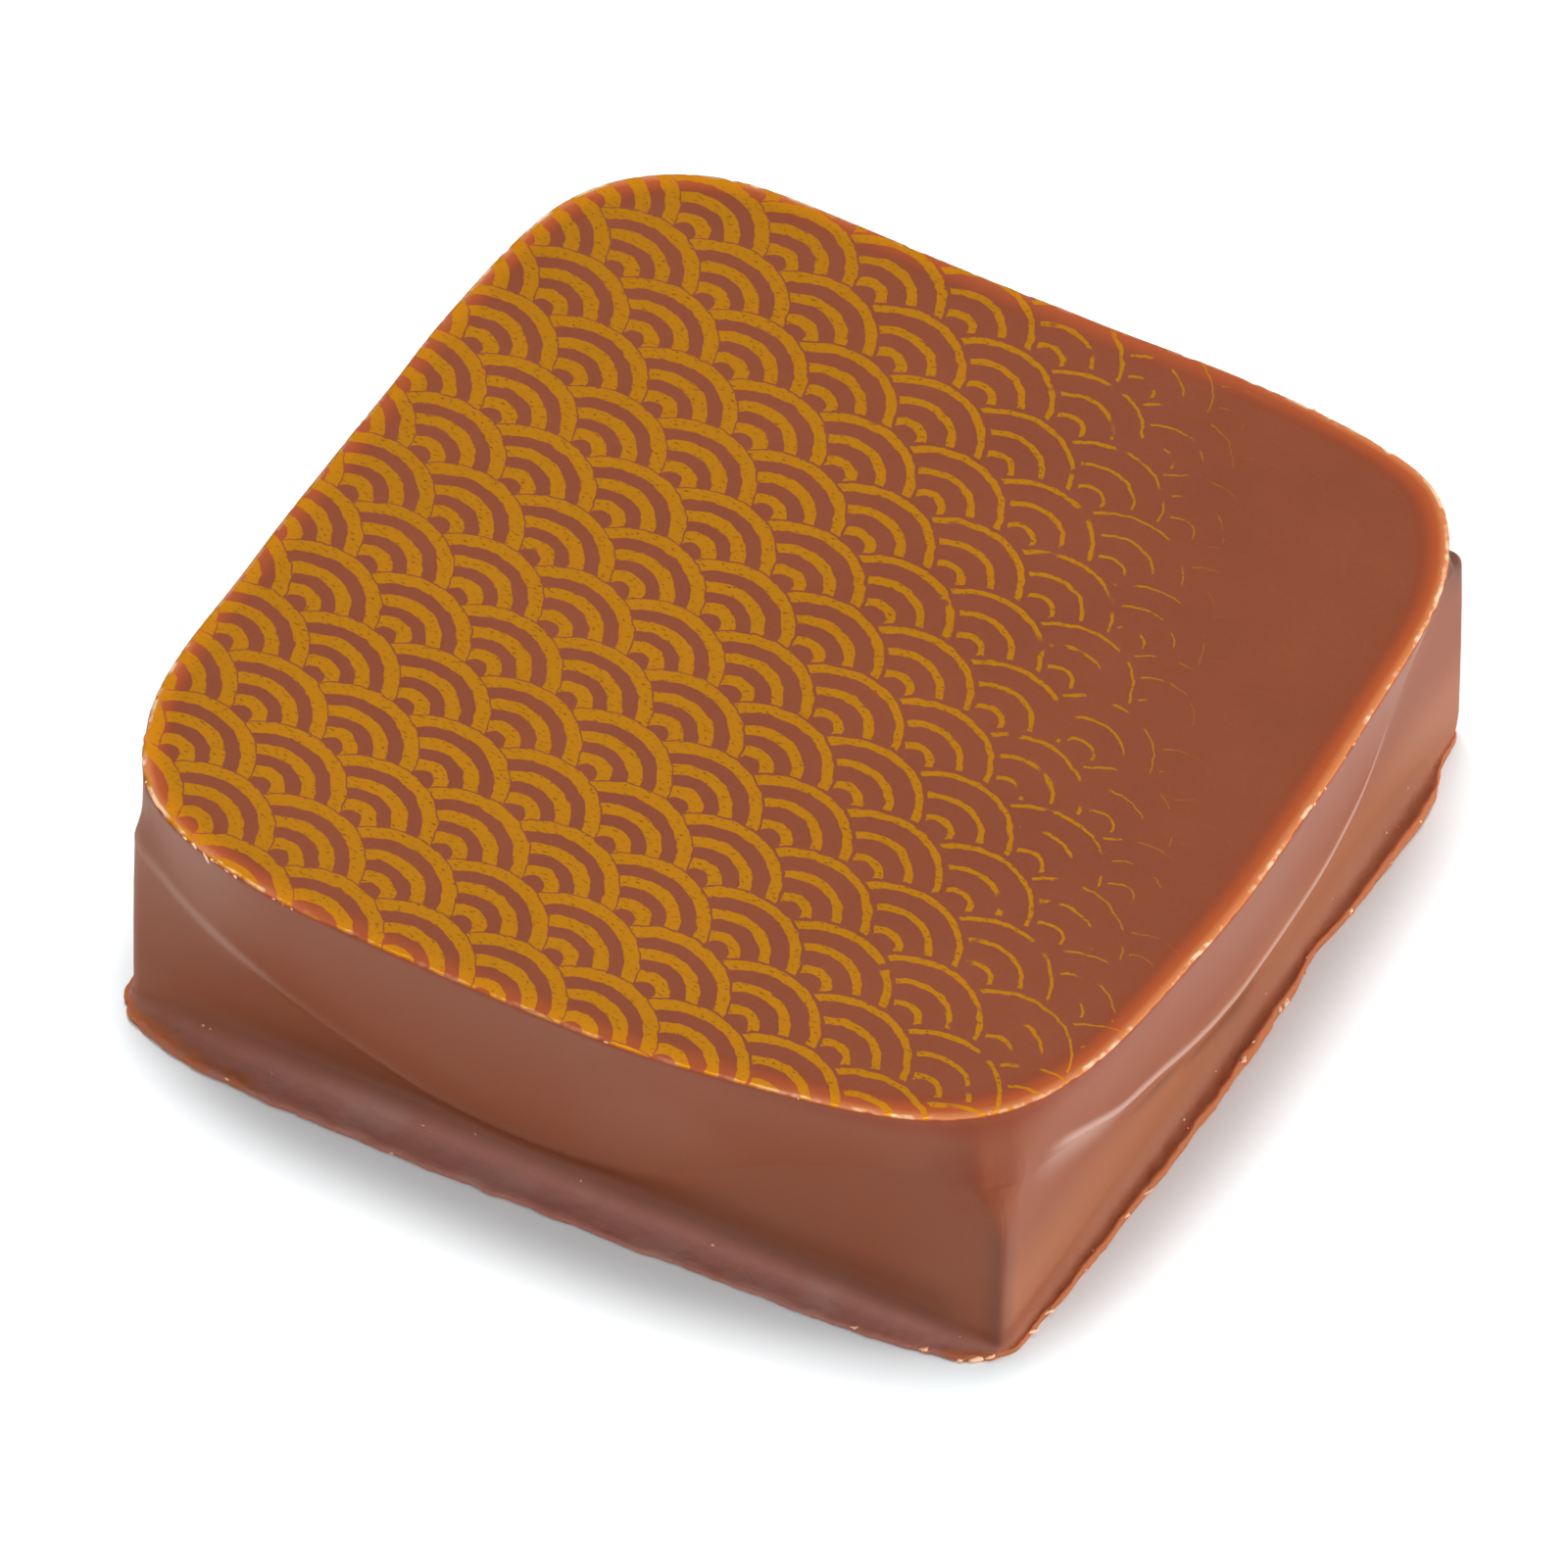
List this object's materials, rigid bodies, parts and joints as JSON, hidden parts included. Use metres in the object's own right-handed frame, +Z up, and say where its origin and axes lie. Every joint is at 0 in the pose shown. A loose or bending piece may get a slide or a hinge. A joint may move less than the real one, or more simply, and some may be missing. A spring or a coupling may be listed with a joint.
{
  "type": "chocolate bonbon",
  "caption": "Low square moulded milk chocolate bonbon: a sharp-cornered block under a wider flat round-cornered top, with swelling sides and a thin uneven foot.",
  "frame": {"origin": "on the surface it rests on, under the middle of its outer size", "axes": "+Z up out of the printed top; X and Y square to the four walls, with the widest foot at -Y"},
  "size_m": [0.0332, 0.0342, 0.0096],
  "materials": {
    "chocolate": "satin milk chocolate, smooth on the moulded top and matt on the foot"
  },
  "bodies": {
    "root": {"chocolate_body": "chocolate"}
  },
  "joints": []
}
